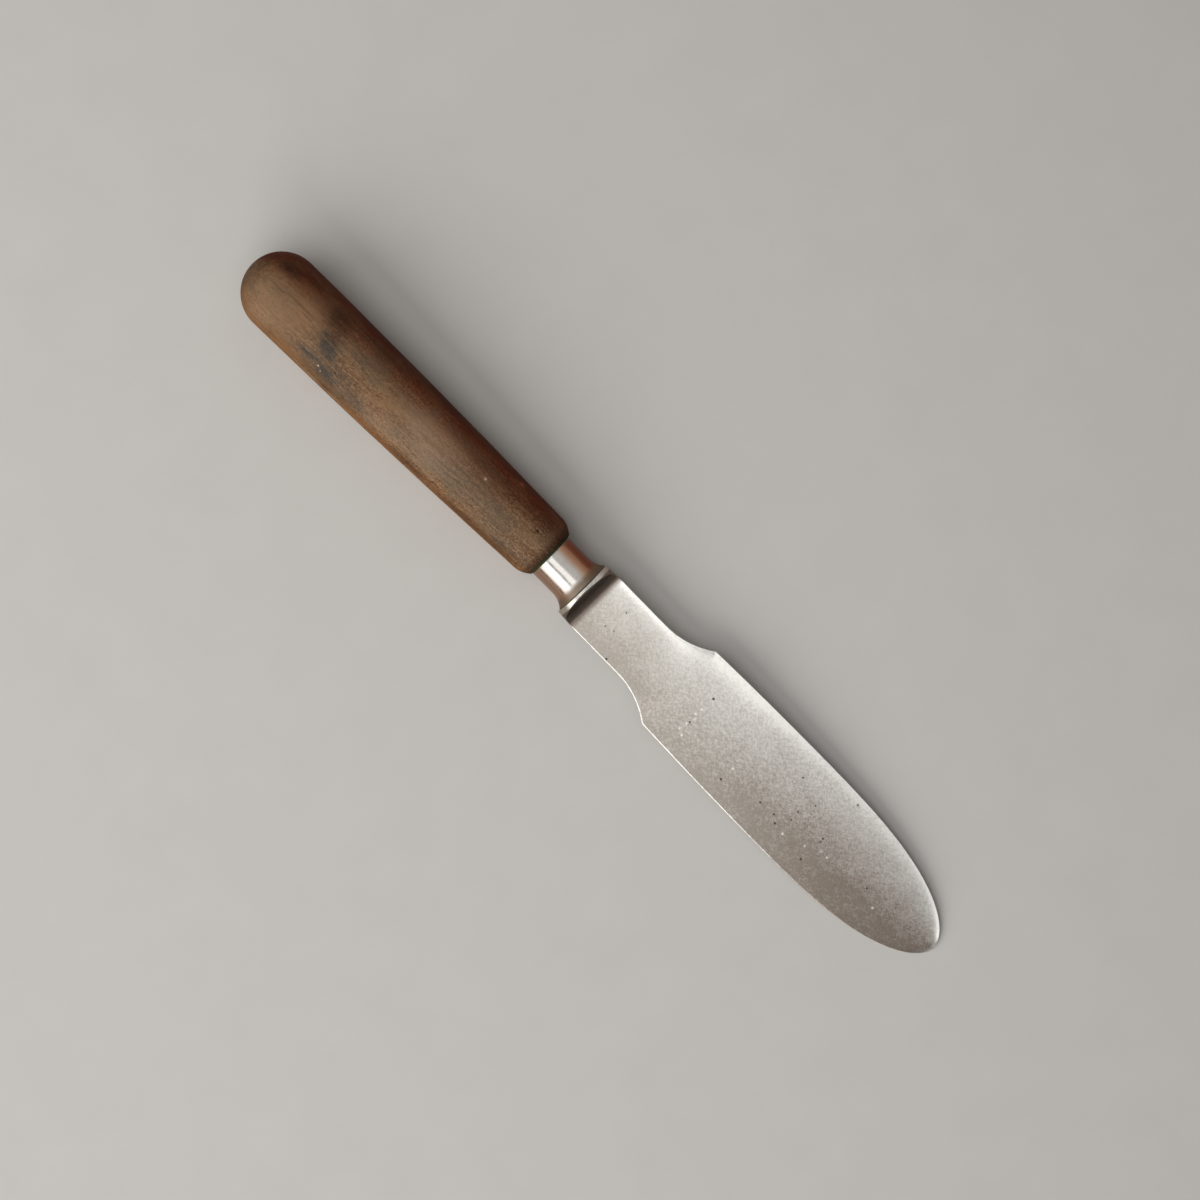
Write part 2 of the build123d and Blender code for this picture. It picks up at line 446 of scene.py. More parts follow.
def tang_rings(spread):
    """The tapered bar with rounded corners, from its end to the collar, along the handle's axis."""
    squareness = 10
    box_shape = (1 - np.abs(spread) ** squareness) ** (1 / squareness)
    rings = []
    for share in np.linspace(1, 0, 24):
        width, height = (root + (end - root) * share for root, end in zip(TANG_ROOT, TANG_END))
        x = -TANG_LENGTH * share
        centre = handle_to_tool @ Vector((x + FERRULE_LENGTH, 0, 0))
        rings.append(slice_ring(x, width * spread, height * box_shape, centre.y))
    return rings


def distance_inside(points, outline):
    """How far in from the outline each point ahead of the collar is; a long way for the others."""
    inside = np.full(len(points), 20.0)
    ahead = np.flatnonzero(points[:, 0] > BOLSTER_LENGTH)
    for chunk in np.array_split(ahead, 60):
        gap = np.hypot(outline[:, :1] - points[chunk, 0], outline[:, 1:] - points[chunk, 1])
        inside[chunk] = gap.min(0)
    return inside


def make_blade(material):
    """Tang, bolster and leaf as one skin, with a little waviness and one edge turned up."""
    # Shares of the half-width from +Y to -Y, closest together at the two edges.
    u = np.linspace(0, 1, 95)
    spread = 0.78 * np.cos(math.pi * u) + 0.22 * (1 - 2 * u)
    outline = blade_outline()
    rings = tang_rings(spread)
    for x in blade_stations():
        rings.append(slice_ring(x, *blade_section(float(x), spread, outline)))
    tang_tip = rings[0].mean(0)
    blade, points = loft("blade_forging", rings, start=tang_tip, end=(BLADE_LENGTH, 0, 0))

    inside = distance_inside(points, outline)
    store(blade, "place", points)
    store(blade, "inside", inside)
    # Painted reflections and highlights, which the steel's colour reads.
    store(blade, "painted_sheen", blade_painted_sheen(points, inside))

    x, y, z = points.T
    waves = 0.018 * wobble(points, (22, 9, 30), 1) + 0.004 * wobble(points, (5, 2.6, 30), 2)
    flat = smoothstep(BOLSTER_LENGTH, 9, x) * smoothstep(0.3, 1.5, inside)
    z = z + waves * flat * np.sign(z)
    lip = turned_up(x, inside) * smoothstep(BOLSTER_LENGTH + 0.6, BOLSTER_LENGTH + 3, x)
    z = z + np.where(z > 0, lip * smoothstep(0, 4, y), 0)
    blade.data.vertices.foreach_set("co", np.stack([x, y, z], 1).ravel())
    settle(blade, tool_frame, material, sharp=38)
    return blade


# Where the upper face is pitted: x and y in the tool frame, and the pit's radius, in millimetres.
# The underside has the same pits on its other side, moved along X by UNDERSIDE_SHIFT.
PITS = (
    (49.5, 4.9, 0.4), (12.5, -2.7, 0.1), (15.3, -2.0, 0.1), (14.0, 4.3, 0.12), (49.5, -4.7, 0.22),
    (67.7, -9.9, 0.36), (80.5, -6.4, 0.32), (85.7, -6.0, 0.32), (87.8, -7.6, 0.36), (90.1, -0.5, 0.25),
    (90.4, -3.5, 0.22), (100.8, -0.8, 0.3), (100.9, -1.9, 0.27), (100.5, -9.6, 0.36), (92.4, 4.3, 0.22),
    (84.0, 7.5, 0.22), (100.8, 13.2, 0.29), (130.0, 0.2, 0.25), (120.0, -1.8, 0.32), (19.5, -9.2, 0.29),
)

UNDERSIDE_SHIFT = 13.0
# How far the marks are from the blade's middle plane.
FACE_HEIGHT = 0.9

# Where a burr of bright metal stands out on the upper face.
SPECKS = (
    (103.0, -3.8), (105.6, -3.8), (125.3, -4.6), (98.6, -6.1), (91.6, -8.2), (49.4, 0.3), (49.0, -1.8),
    (49.8, -3.1), (49.2, -5.6), (48.8, -7.9), (50.6, -9.0), (68.0, -5.2),
)


def blade_pits(steel, place):
    """1 in the pits of both faces, with ragged edges, and 0 elsewhere."""
    pits = 0.0
    for x, y, radius in PITS:
        for centre in ((x, y, FACE_HEIGHT), (x + UNDERSIDE_SHIFT, -y, -FACE_HEIGHT)):
            gap = steel.flat_distance(place, centre)
            pits = steel.math("MAXIMUM", pits, steel.span(gap, radius + 0.35, radius * 0.4))
    ragged = steel.noise(place, 2.4, 2.0, 0.6)
    return steel.span(steel.times(pits, steel.add(ragged, 0.5)), 0.35, 1.0)


def steel_material():
    """Satin steel: fine cross-hatched wear, dull to bright with the painted reflections and highlights
    that the mesh stores, small pits, a painted table reflection at the collar's ends and painted shade in
    the cove.
    """
    steel = Shader("satin_blade_steel", Metallic=1.0)
    place = steel.place()
    x = steel.axis(place, "X")
    y = steel.axis(place, "Y")
    coarse = steel.noise(steel.stretch(place, (0.95, 1.15, 0.9)), 1.0, 4.0, 0.75)
    grit = steel.noise(steel.stretch(place, (1.7, 2.1, 0.9)), 1.0, 3.0, 0.7)
    grain = steel.blend(steel.span(x, 60.0, 108.0, 0.3, 0.8), coarse, grit)
    slant = steel.noise(steel.stretch(place, (0.45, 2.1, 1.0), turn=(0, 0, 0.8)), 1.0, 2.0, 0.7)
    back_slant = steel.noise(steel.stretch(place, (0.45, 2.1, 1.0), turn=(0, 0, -0.7)), 1.0, 2.0, 0.7)
    brushed = steel.noise(steel.stretch(place, (0.07, 6.0, 0.6)), 1.0, 3.0, 0.65)
    cloud = steel.noise(steel.stretch(place, (0.10, 0.16, 0.1)), 1.0, 3.0, 0.6)
    hatch = steel.add(steel.times(slant, 0.5), steel.times(back_slant, 0.5))
    fine = steel.add(steel.times(grain, 0.68), steel.times(hatch, 0.32))
    # Painted reflections and highlights that the mesh stores, broken up by the grain.
    painted_sheen = steel.add(steel.value("painted_sheen"), steel.span(cloud, 0.3, 0.7, -0.05, 0.05))
    neck_depth = steel.span(x, 24.0, 42.0, 0.17, 0.22)
    tip_depth = steel.span(x, 85.0, 112.0, 0.22, 0.16)
    depth = steel.math("MINIMUM", tip_depth, neck_depth)
    mottle = steel.times(steel.span(fine, 0.40, 0.60, -1.0, 1.0), depth)
    painted_sheen = steel.math("MINIMUM", steel.add(painted_sheen, mottle), 1.0, clamp=True)
    dull = steel.mix(steel.span(x, 55.0, 120.0), rgb(0.40, 0.364, 0.322), rgb(0.350, 0.290, 0.246))
    colour = steel.mix(painted_sheen, dull, rgb(0.97, 0.955, 0.925))
    pits = blade_pits(steel, place)
    colour = steel.mix(steel.times(pits, 0.95), colour, rgb(0.09, 0.078, 0.068))
    for speck_x, speck_y in SPECKS:
        gap = steel.flat_distance(place, (speck_x, speck_y, FACE_HEIGHT))
        bright = steel.times(steel.span(gap, 0.6, 0.15), steel.span(grit, 0.40, 0.50, 0.3, 0.9))
        colour = steel.mix(bright, colour, rgb(0.97, 0.95, 0.92))
    # Painted brown reflection of a wooden table at the collar's two ends.
    ends = steel.times(steel.span(steel.math("ABSOLUTE", y), 5.2, 8.2), steel.span(x, 3.4, 2.4))
    colour = steel.mix(steel.times(ends, 0.6), colour, rgb(0.36, 0.235, 0.17))
    # Painted shade in the cove.
    cove = steel.times(steel.span(x, 7.2, 4.8), steel.span(x, 1.25, 1.7))
    colour = steel.mix(steel.times(cove, 0.9), colour, rgb(0.15, 0.105, 0.08))
    steel.set("Base Color", colour)
    rough = steel.add(steel.span(grain, 0.3, 0.7, 0.27, 0.35), steel.times(pits, 0.3))
    rough = steel.add(rough, steel.times(cove, 0.12))
    steel.set("Roughness", rough)
    even = steel.span(steel.value("inside"), 0.25, 1.1)
    grooves = steel.times(fine, even)
    steel.bump((grooves, 0.016), (steel.times(brushed, even), 0.002), (pits, -0.05))
    return steel.material


# ---------------------------------------------------------------- ferrule

def ferrule_radii(behind):
    """Half-width and half-height of the sleeve at a distance behind the bolster."""
    flare = max(1 - behind / FLARE_LENGTH, 0)
    half_width = FERRULE_RADIUS + (FLARE_WIDTH - FERRULE_RADIUS) * flare**3.6
    half_height = FERRULE_RADIUS + (FLARE_HEIGHT - FERRULE_RADIUS) * flare**3.0
    return half_width, half_height


def make_ferrule(material):
    """The sleeve: over its outside from the handle to the bolster, then back through its bore.
    Its front is square to the blade and its back is square to the leaning handle."""
    angles = np.linspace(0, 2 * math.pi, 180, endpoint=False)
    lean = handle_to_tool.to_3x3() @ Vector((1, 0, 0))
    rings = []

    def ring(behind, half_width, half_height):
        y = half_width * np.sin(angles)
        z = half_height * np.cos(angles)
        x = -behind - y * lean.y / lean.x * behind / FERRULE_LENGTH
        rings.append(np.stack([x, y + FERRULE_OFFSET, z], 1))

    def outer_ring(behind, inset=0.0):
        half_width, half_height = ferrule_radii(behind)
        ring(behind, half_width - inset, half_height - inset)

    # A hair's gap to the bolster and to the handle, and the rounding of both ends.
    gap = 0.05
    edge = 0.22
    back = FERRULE_LENGTH - gap
    for turn in np.linspace(0, math.pi / 2, 6):
        outer_ring(back - edge * (1 - math.cos(turn)), edge * (1 - math.sin(turn)))
    for behind in np.linspace(back - edge - 0.25, 7.0, 22):
        outer_ring(behind)
    for behind in np.linspace(6.75, 0.45, 44):
        outer_ring(behind)
    for turn in np.linspace(math.pi / 2, 0, 6):
        outer_ring(gap + edge * (1 - math.cos(turn)), edge * (1 - math.sin(turn)))
    for behind in np.linspace(gap, back, 40):
        ring(behind, FERRULE_BORE, FERRULE_BORE)
    ferrule, points = loft("ferrule_sleeve", rings, closed=True)
    store(ferrule, "place", points)
    dents = 0.03 * wobble(points, (6, 4, 4), 5)
    radial = (points - (0, FERRULE_OFFSET, 0)) * (0, 1, 1)
    radius = np.linalg.norm(radial, axis=1)
    outside = smoothstep(FERRULE_BORE + 0.3, FERRULE_RADIUS - 0.1, radius)
    points += radial * (dents * outside / radius)[:, None]
    ferrule.data.vertices.foreach_set("co", points.ravel())
    settle(ferrule, tool_frame, material)
    return ferrule


def nickel_silver_material():
    """Worn nickel silver: painted reflections of a brown wooden table along its two sides, a painted dark
    reflection on the flare, and green tarnish at its joints.
    """
    metal = Shader("worn_nickel_silver", Metallic=1.0)
    place = metal.place()
    x = metal.axis(place, "X")
    y = metal.axis(place, "Y")
    cloud = metal.noise(metal.stretch(place, (0.35, 0.2, 0.2)), 1.0, 3.0, 0.6)
    patchy = metal.noise(place, 0.9, 3.0, 0.6)
    scratches = metal.noise(metal.stretch(place, (0.5, 5.0, 5.0)), 1.0, 3.0, 0.7)
    colour = metal.ramp(
        cloud,
        (0.3, rgb(0.61, 0.58, 0.53)),
        (0.55, rgb(0.675, 0.66, 0.635)),
        (0.75, rgb(0.70, 0.69, 0.67)),
    )
    # Painted reflections of a brown wooden table: a warm tint and a dark red-brown band towards +Y, and
    # brown towards -Y.
    off_axis = metal.add(y, -FERRULE_OFFSET)
    warm = metal.span(off_axis, 1.6, 4.2)
    colour = metal.mix(warm, colour, rgb(0.70, 0.42, 0.28), blend="MULTIPLY")
    colour = metal.mix(metal.span(off_axis, 3.4, 6.4), colour, rgb(0.20, 0.05, 0.022))
    colour = metal.mix(metal.span(off_axis, -2.6, -6.0, 0.0, 0.95), colour, rgb(0.40, 0.21, 0.13))
    # Painted dark brown reflection on the flare.
    flare = metal.span(metal.add(x, metal.times(patchy, 0.9)), -3.0, -1.0)
    colour = metal.mix(metal.times(flare, 0.85), colour, rgb(0.19, 0.13, 0.088))
    back = metal.span(metal.add(x, metal.times(patchy, 1.4)), -11.9, -12.9)
    front = metal.span(metal.add(x, metal.times(patchy, 0.8)), -0.1, 0.35)
    tarnish = metal.math("MAXIMUM", metal.times(back, 0.8), metal.times(front, 0.7))
    colour = metal.mix(tarnish, colour, rgb(0.12, 0.14, 0.085))
    metal.set("Base Color", colour)
    rough = metal.span(cloud, 0.35, 0.7, 0.19, 0.27)
    rough = metal.add(rough, metal.times(metal.math("MAXIMUM", tarnish, flare), 0.32))
    metal.set("Roughness", rough)
    metal.bump((cloud, 0.008), (scratches, 0.003))
    return metal.material


# ---------------------------------------------------------------- handle

def handle_radius(back):
    """The turned outline's radius at a distance behind the front face."""
    butt = HANDLE_LENGTH - BUTT_RADIUS
    if back >= butt:
        return math.sqrt(max(BUTT_RADIUS**2 - (back - butt) ** 2, 0))
    t = (back - SHOULDER_LENGTH) / (butt - SHOULDER_LENGTH)
    if t >= 0:
        straight = SHOULDER_RADIUS + (BUTT_RADIUS - SHOULDER_RADIUS) * t
        return straight + 4 * BELLY * t * (1 - t)
    slope = (BUTT_RADIUS - SHOULDER_RADIUS + 4 * BELLY) / (butt - SHOULDER_LENGTH)
    ahead = SHOULDER_LENGTH - back
    drop = SHOULDER_RADIUS - FRONT_RADIUS
    bend = (drop - slope * SHOULDER_LENGTH) / SHOULDER_LENGTH**2
    return SHOULDER_RADIUS - slope * ahead - bend * ahead**2


# Marks on the handle: kind, millimetres behind the front face, degrees from the top towards -Y,
# then length and width in millimetres, and strength.
MARKS = (
    ("dark", 111.0, -40, 10.8, 5.62, 0.85),
    ("dark", 104.0, -50, 16.8, 4.38, 0.5),
    ("dark", 118.5, 0, 7.2, 32.5, 0.5),
    ("dark", 90.5, -34, 9.6, 10, 0.75),
    ("dark", 88.5, -16, 6.6, 6.25, 0.6),
    # Painted shade along the +Y side.
    ("dark", 60.0, -78, 120, 8, 0.7),
    ("dark", 74.0, -50, 21.6, 3.25, 0.5),
    ("dark", 101.0, -9, 12, 0.7, 0.6),
    ("dark", 110.0, -6, 6, 0.6, 0.7),
    ("dark", 98.0, -4, 5, 0.5, 0.5),
    ("dark", 100.5, 58, 20, 0.7, 0.4),
    ("dark", 80.5, 66, 6, 2.5, 0.7),
    # Painted shade round the front shoulder.
    ("dark", 0.7, 0, 4.6, 110, 0.95),
    ("dark", 22.0, 62, 34, 4.2, 0.75),
    ("dark", 49.0, 60, 15.6, 4.5, 0.6),
    ("dark", 29.0, -24, 24, 7.5, 0.35),
    ("dark", 8.0, -40, 14.4, 10, 0.35),
    ("dark", 73.8, 33, 7, 0.5, 0.75),
    ("blue", 87.6, 6, 7.3, 5.04, 1.0),
    ("blue", 85.6, 13, 4.9, 3.64, 0.8),
    ("blue", 90.6, -3, 4.1, 2.8, 0.7),
    ("blue", 88.0, 8, 14.9, 15.4, 0.4),
    ("blue", 89.5, 33, 12.2, 3.36, 0.8),
    ("blue", 84.0, 39, 8.1, 4.2, 0.95),
    ("blue", 80.5, 42, 6.8, 3.64, 0.8),
    ("blue", 84.0, 34, 27, 10.5, 0.5),
    ("blue", 72.0, 44, 12.2, 6.3, 0.6),
    ("blue", 79.0, -8, 8.1, 4.2, 0.35),
    ("blue", 11.0, 42, 24, 7, 0.4),
    ("blue", 20.0, 27, 18, 8, 0.4),
    ("blue", 28.0, 16, 45.9, 11.2, 0.35),
    ("blue", 44.0, 20, 27, 12.6, 0.2),
    ("pale", 28.9, -17, 2.4, 1.3, 1.5),
    ("pale", 20.2, -62, 2.8, 1.6, 1.4),
    ("pale", 85.5, 37, 3, 0.35, 0.9),
    ("pale", 84.2, 43, 3.4, 0.35, 0.8),
    ("pale", 91.0, 31, 3, 0.4, 0.5),
    ("pale", 82.0, 70, 20, 1.2, 0.6),
    ("pale", 60.0, 36, 24, 9, 0.25),
    ("pale", 46.0, 2, 24, 15, 0.4),
    ("pale", 108.0, 50, 10, 7, 0.25),
    ("warm", 40.0, -14, 40, 8, 0.6),
    ("warm", 98.0, -12, 22, 7, 0.8),
    ("warm", 103.0, 0, 30, 24, 0.6),
    ("warm", 46.0, -10, 24, 9, 0.8),
)
# Chips that show bare pale wood: millimetres behind the front face, degrees as above, and radius.
CHIPS = ((28.9, -17, 0.5), (20.2, -62, 0.75), (85.9, 37, 0.4), (84.4, 42, 0.35))
# Dents and nicks: the same places, then length, width and depth in millimetres.
NICKS = (
    (7.7, -17, 1.8, 0.9, 0.35),
    (81.0, 27, 1.2, 0.9, 0.30),
    (28.9, -17, 2.0, 0.8, 0.15),
    (20.2, -62, 2.4, 0.9, 0.18),
    (86.0, 33, 3.0, 0.5, 0.12),
    (84.0, 36, 2.6, 0.4, 0.12),
    (60.0, 150, 2.5, 1.5, 0.25),
    (98.0, -120, 3.0, 1.2, 0.25),
    (35.0, 110, 2.0, 1.4, 0.2),
    (112.0, 80, 2.4, 1.6, 0.22),
)


def marks_at(marks, back, angle, radius):
    """How strongly each place on the handle is marked: most at a mark's middle, fading past its edge."""
    total = np.zeros(len(back))
    for centre, degrees, length, width, strength in marks:
        along = (back - centre) / (length / 2)
        turn = (angle - math.radians(degrees) + math.pi) % (2 * math.pi) - math.pi
        across = turn * np.maximum(radius, 4) / (width / 2)
        total = np.maximum(total, strength * np.exp(-((along**2 + across**2) ** 1.4)))
    return total


def handle_rings():
    """The handle's skin: from the butt over its outside to the front face, round the spigot and
    back down the bore."""
    around = 192
    angles = np.linspace(0, 2 * math.pi, around, endpoint=False)
    tool_to_handle = handle_to_tool.inverted()
    rings = []

    def ring(back, radius, centre=(0.0, 0.0, 0.0)):
        circle = np.stack([np.full(around, -back), -radius * np.sin(angles), radius * np.cos(angles)], 1)
        rings.append(circle + np.array(centre))

    for turn in np.linspace(0.02, math.pi / 2, 44)[:-1]:
        ring(HANDLE_LENGTH - BUTT_RADIUS * (1 - math.cos(turn)), BUTT_RADIUS * math.sin(turn))
    for back in np.linspace(HANDLE_LENGTH - BUTT_RADIUS, SHOULDER_LENGTH, 232)[:-1]:
        ring(back, handle_radius(back))
    rim = 0.25
    for back in np.linspace(SHOULDER_LENGTH, rim, 22):
        ring(back, handle_radius(back))
    for turn in np.linspace(0, math.pi / 2, 5)[1:]:
        ring(rim * (1 - math.sin(turn)), handle_radius(rim) - rim * (1 - math.cos(turn)))
    for radius in (FERRULE_BORE + 0.3, FERRULE_BORE):
        ring(0.0, radius)
    spigot_start = tool_to_handle @ Vector((-FERRULE_LENGTH, FERRULE_OFFSET, 0))
    spigot_end = tool_to_handle @ Vector((-FERRULE_LENGTH + SPIGOT_LENGTH, FERRULE_OFFSET, 0))
    for share in np.linspace(0.02, 1, 8):
        ring(0.0, FERRULE_BORE - 0.05, spigot_start.lerp(spigot_end, share))
    for back in np.linspace(-SPIGOT_LENGTH, BORE_DEPTH, 30):
        ring(back, BORE_RADIUS)
    ring(BORE_DEPTH + BORE_POINT * 0.8, BORE_RADIUS * 0.2)
    return rings


def nick_depth(back, angle, radius):
    """How far each place on the handle is sunk by dents and nicks."""
    sunk = np.zeros(len(back))
    for centre, degrees, length, width, depth in NICKS:
        shape = marks_at(((centre, degrees, length, width, 1.0),), back, angle, radius)
        sunk = np.maximum(sunk, depth * smoothstep(0.2, 0.85, shape))
    return sunk


def make_handle(material):
    """The turned wood, a little lumpy and nicked, with the values that its material reads."""
    handle, points = loft(
        "handle_wood",
        handle_rings(),
        start=(-HANDLE_LENGTH, 0, 0),
        end=(-BORE_DEPTH - BORE_POINT, 0, 0),
    )
    radius = np.hypot(points[:, 1], points[:, 2])
    angle = np.arctan2(-points[:, 1], points[:, 2])
    back = -points[:, 0]
    outside = (radius > FERRULE_BORE + 0.35) | (back > HANDLE_LENGTH - 5)

    def store_outside(name, values):
        store(handle, name, np.where(outside, values, 0))

    store(handle, "place", points)
    for kind in ("dark", "blue", "pale", "warm"):
        marks = [m[1:] for m in MARKS if m[0] == kind]
        store_outside(kind, marks_at(marks, back, angle, radius))
    sunk = nick_depth(back, angle, radius)
    full_nick = 0.3
    store_outside("nick", sunk / full_nick)
    # Painted shade on the +Y side, strongest on top, and painted warm light from the table on the -Y side.
    sideways = points[:, 1] / np.maximum(radius, 1)
    upright = smoothstep(-0.6, 0.1, points[:, 2] / np.maximum(radius, 1))
    store_outside("painted_shade", smoothstep(0.05, 0.95, sideways) * (0.45 + 0.55 * upright))
    store_outside("painted_table_bounce", smoothstep(0.6, 1.0, -sideways))

    lumps = 0.09 * wobble(points, (26, 8, 8), 7) + 0.03 * wobble(points, (9, 2.5, 2.5), 8)
    lumps += 0.014 * wobble(points, (14, 0.8, 0.8), 9)
    radial = points * (0, 1, 1) / np.maximum(radius, 0.5)[:, None]
    raised = np.where(outside, lumps - sunk, 0) * np.minimum(radius / 4, 1)
    points = points + radial * raised[:, None]
    handle.data.vertices.foreach_set("co", points.ravel())
    settle(handle, handle_frame, material)
    return handle


def wood_material():
    """Bare beech gone brown with handling: fine short flecks, faint long streaks and soft stains,
    with painted shade on the +Y side and round the front edge, and painted warm light from the table on
    the -Y side.
    """
    wood = Shader("bare_aged_wood", Specular_IOR_Level=0.09)
    place = wood.place()
    # The grain: broad bands and streaks that sway a little, then short fibres and flecks.
    sway = wood.noise(wood.stretch(place, (0.022, 0.09, 0.09)), 1.0, 2.0, 0.5)
    bend = wood.node("CombineXYZ", {1: wood.times(sway, 11.0), 2: wood.times(sway, 7.0)})
    grown = wood.node("VectorMath", {0: place, 1: bend}, operation="ADD")
    bands = wood.noise(wood.stretch(grown, (0.014, 0.30, 0.42)), 1.0, 3.0, 0.6)
    streaks = wood.noise(wood.stretch(grown, (0.055, 1.7, 1.7)), 1.0, 4.0, 0.65)
    fibres = wood.noise(wood.stretch(grown, (0.30, 2.4, 2.4)), 1.0, 3.0, 0.75)
    flecks = wood.noise(wood.stretch(place, (0.85, 1.4, 1.4)), 1.0, 4.0, 0.8)
    grit = wood.noise(wood.stretch(place, (1.7, 3.4, 3.4)), 1.0, 2.0, 0.7)
    cloud = wood.noise(wood.stretch(place, (0.05, 0.11, 0.11)), 1.0, 3.0, 0.6)
    tone = wood.add(wood.times(bands, 0.18), wood.times(streaks, 0.17))
    tone = wood.add(tone, wood.add(wood.times(fibres, 0.17), wood.times(flecks, 0.42)))
    x = wood.axis(place, "X")
    grit = wood.times(wood.span(grit, 0.3, 0.7, -0.05, 0.05), wood.span(x, -75.0, -45.0, 1.0, 1.9))
    tone = wood.add(tone, wood.add(grit, 0.03))
    colour = wood.ramp(
        tone,
        (0.41, rgb(0.130, 0.060, 0.027)),
        (0.47, rgb(0.225, 0.116, 0.056)),
        (0.53, rgb(0.315, 0.181, 0.095)),
        (0.60, rgb(0.430, 0.266, 0.152)),
    )
    # Broad patches, then the marks that the mesh stores, broken up by the grain.
    patch = wood.noise(wood.stretch(place, (0.09, 0.16, 0.16)), 1.0, 3.0, 0.6, 0.6)
    colour = wood.mix(wood.span(cloud, 0.42, 0.62, 0.0, 0.55), colour, rgb(0.185, 0.139, 0.095))
    colour = wood.mix(wood.span(patch, 0.50, 0.66, 0.0, 0.45), colour, rgb(0.330, 0.190, 0.098))
    colour = wood.mix(wood.times(wood.value("warm"), 0.6), colour, rgb(0.410, 0.225, 0.115))
    uneven = wood.add(wood.times(streaks, 0.8), wood.add(wood.times(flecks, 0.7), wood.times(cloud, 0.5)))
    pale = wood.times(wood.value("pale"), wood.span(uneven, 0.7, 1.2, 0.35, 1.1))
    colour = wood.mix(wood.math("MINIMUM", pale, 0.9), colour, rgb(0.48, 0.345, 0.240))
    blue = wood.times(wood.value("blue"), wood.span(uneven, 0.85, 1.15, 1.4, 0.45))
    colour = wood.mix(wood.math("MINIMUM", blue, 0.9), colour, rgb(0.072, 0.066, 0.058))
    # The dark marks are stains, and also painted shade along the +Y side and round the front shoulder.
    dark = wood.times(wood.value("dark"), wood.span(uneven, 0.75, 1.25, 1.25, 0.6))
    colour = wood.mix(wood.math("MINIMUM", dark, 0.92), colour, rgb(0.072, 0.036, 0.020))
    # Open pores, nicks and chips.
    cracks = wood.span(fibres, 0.31, 0.24)
    colour = wood.mix(wood.times(cracks, 0.6), colour, rgb(0.06, 0.032, 0.02))
    colour = wood.mix(wood.span(wood.value("nick"), 0.55, 1.0, 0.0, 0.85), colour, rgb(0.04, 0.024, 0.016))
    for back, degrees, radius in CHIPS:
        turn = math.radians(degrees)
        around = handle_radius(back)
        spot = (-back, -around * math.sin(turn), around * math.cos(turn))
        gap = wood.node("VectorMath", {0: place, 1: spot}, out="Value", operation="DISTANCE")
        chip = wood.times(wood.span(gap, radius, radius * 0.4), wood.span(flecks, 0.40, 0.50, 0.35, 1.0))
        colour = wood.mix(chip, colour, rgb(0.72, 0.56, 0.40))
    # The front edge: painted shade, near black, at the joint, with a little green from the ferrule.
    rim = wood.span(wood.add(x, wood.times(fibres, 0.8)), -0.9, 0.25)
    colour = wood.mix(wood.times(rim, 0.85), colour, rgb(0.016, 0.012, 0.008))
    green = wood.span(wood.add(x, wood.times(fibres, 0.5)), -0.45, 0.15)
    colour = wood.mix(wood.times(green, 0.75), colour, rgb(0.055, 0.095, 0.035))
    # The two sides: painted shade, darker and browner, on +Y, and painted warm light from the table on -Y.
    painted_shade = wood.times(wood.value("painted_shade"), wood.span(cloud, 0.3, 0.7, 1.1, 0.8))
    colour = wood.mix(wood.math("MINIMUM", painted_shade, 1.0), colour, rgb(0.60, 0.25, 0.13), blend="MULTIPLY")
    colour = wood.mix(wood.span(painted_shade, 0.75, 1.0), colour, rgb(0.85, 0.62, 0.42), blend="MULTIPLY")
    colour = wood.mix(wood.value("painted_table_bounce"), colour, rgb(0.90, 0.70, 0.48), blend="MULTIPLY")
    wood.set("Base Color", colour)
    wood.set("Roughness", wood.span(wood.add(flecks, cloud), 0.75, 1.25, 0.60, 0.78))
    wood.bump((streaks, 0.09), (fibres, 0.07), (flecks, 0.05))
    return wood.material


def cement_material():
    """Dull brown cutler's cement, gritty all through."""
    cement = Shader("cutlers_cement", Roughness=0.75)
    place = cement.node("TexCoord", out="Object")
    lumps = cement.noise(place, 900.0, 4.0, 0.6)
    grit = cement.cells(place, 2600.0)
    colour = cement.ramp(lumps, (0.35, rgb(0.06, 0.035, 0.022)), (0.7, rgb(0.20, 0.12, 0.08)))
    cement.set("Base Color", colour)
    cement.bump((lumps, 0.12), (grit, 0.05))
    return cement.material


# ---------------------------------------------------------------- the object

blade = make_blade(steel_material())
ferrule = make_ferrule(nickel_silver_material())
handle = make_handle(wood_material())
for piece, node, slot in (
    (blade, "blade", "blade_steel"),
    (ferrule, "ferrule", "nickel_silver"),
    (handle, "handle", "handle_wood"),
):
    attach(piece, "root")
    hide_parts(node)
cement = frame["nodes"]["cement_fill"]
cement.data.materials.clear()
cement.data.materials.append(cement_material())


# ---------------------------------------------------------------- table, light and camera

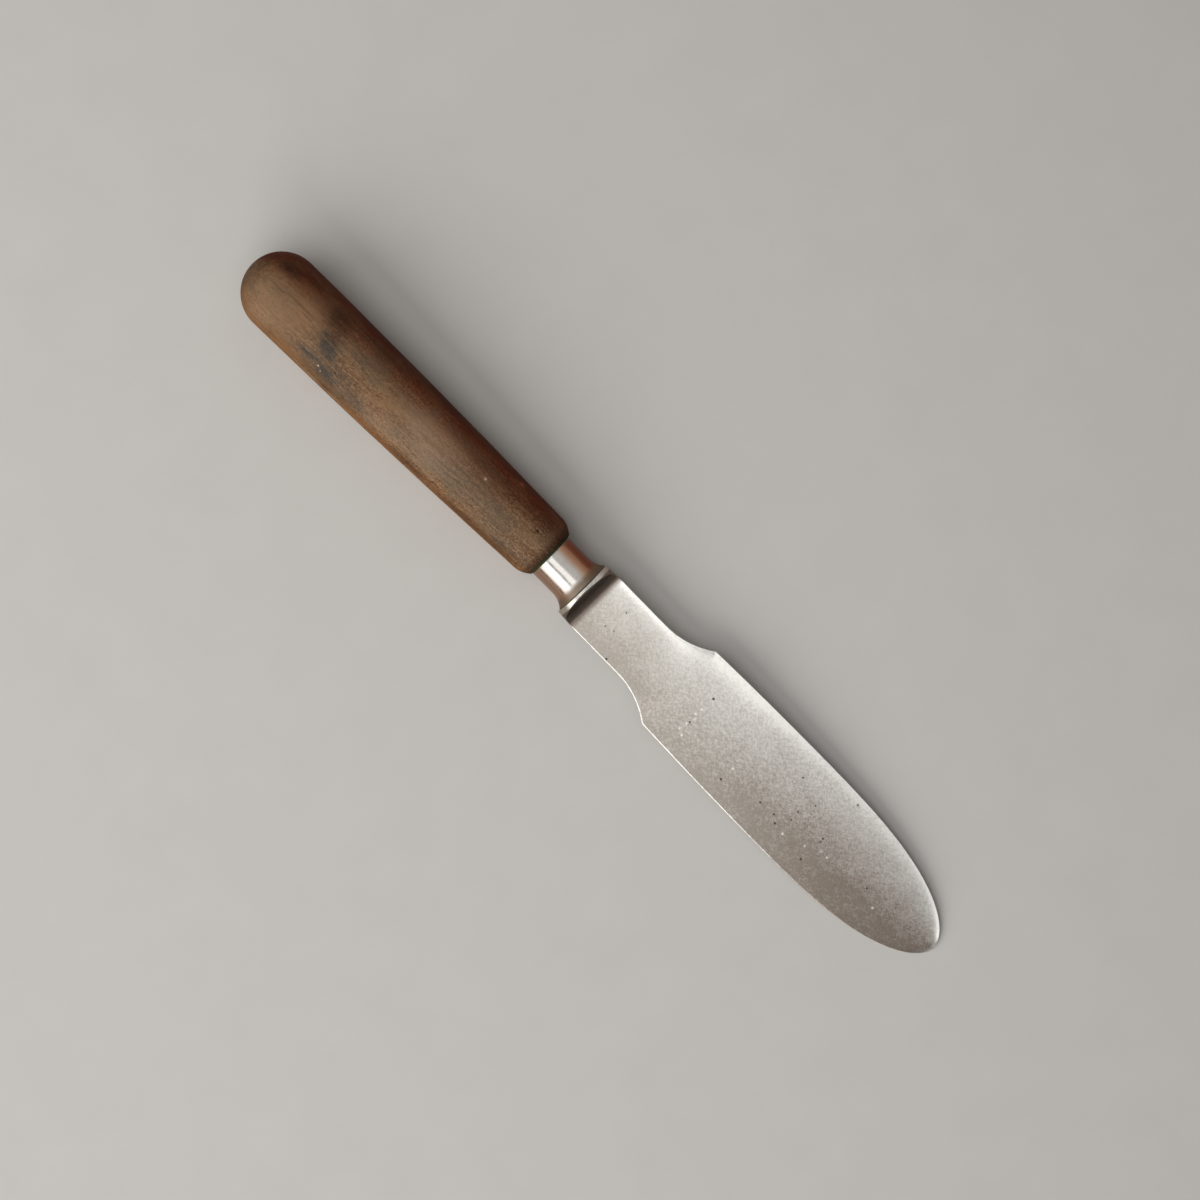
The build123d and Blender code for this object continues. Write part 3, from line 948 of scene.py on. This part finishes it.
def make_table():
    """A plain pale top, at height 0."""
    half = 3.0
    corners = [(-half, -half, 0), (half, -half, 0), (half, half, 0), (-half, half, 0)]
    mesh = bpy.data.meshes.new("table")
    mesh.from_pydata(corners, [], [(0, 1, 2, 3)])
    table = bpy.data.objects.new("table", mesh)
    bpy.context.scene.collection.objects.link(table)
    cover = Shader("pale_table", Roughness=0.8)
    place = cover.node("TexCoord", out="Object")
    speckle = cover.noise(place, 60.0, 3.0, 0.5)
    colour = cover.ramp(speckle, (0.3, rgb(0.78, 0.765, 0.74)), (0.7, rgb(0.80, 0.785, 0.76)))
    cover.set("Base Color", colour)
    mesh.materials.append(cover.material)


def softbox(name, place, width, depth, radiance, colour):
    """A rectangular light at place, facing the tool, width along X, as bright as radiance."""
    light = bpy.data.lights.new(name, "AREA")
    light.shape = "RECTANGLE"
    light.size = width
    light.size_y = depth
    light.color = colour
    light.energy = radiance * math.pi * width * depth
    lamp = bpy.data.objects.new(name, light)
    lamp.visible_camera = False
    z_axis = Vector(place).normalized()
    x_axis = Vector((1, 0, 0))
    x_axis = (x_axis - x_axis.dot(z_axis) * z_axis).normalized()
    lamp.matrix_world = axes_frame(x_axis, z_axis, Vector(place))
    bpy.context.scene.collection.objects.link(lamp)
    return lamp


def make_light():
    """A broad key light from the -Y side, a panel close above the handle's end, a fill from the +Y
    side that only shows in the metal and as gloss, and a faint even sky."""
    softbox("key", (-0.10, -1.33, 0.90), 2.6, 1.25, 1.9, (1.0, 0.985, 0.96))
    softbox("panel", (-0.16, -0.14, 0.65), 0.72, 0.32, 1.38, (1.0, 0.99, 0.97))
    fill = softbox("fill", (0.0, 0.85, 0.85), 2.4, 2.2, 0.45, (1.0, 0.975, 0.94))
    fill.visible_diffuse = False
    world = bpy.data.worlds.new("studio")
    world.use_nodes = True
    sky = world.node_tree.nodes["Background"]
    sky.inputs["Color"].default_value = rgb(1.0, 0.98, 0.95)
    sky.inputs["Strength"].default_value = 0.16
    bpy.context.scene.world = world


def make_camera():
    """Straight above, turned so that the tool runs from upper left to lower right."""
    data = bpy.data.cameras.new("camera")
    data.sensor_width = 36
    data.lens = 206.8
    camera = bpy.data.objects.new("camera", data)
    height = 2.0
    centre = tool_frame.translation + Vector((0.0061, 0.0014, 0))
    camera.location = (centre.x, centre.y, height)
    camera.rotation_euler = (0, 0, math.radians(45.6))
    bpy.context.scene.collection.objects.link(camera)
    bpy.context.scene.camera = camera


make_table()
make_light()
make_camera()
bpy.context.scene.view_settings.view_transform = "Standard"
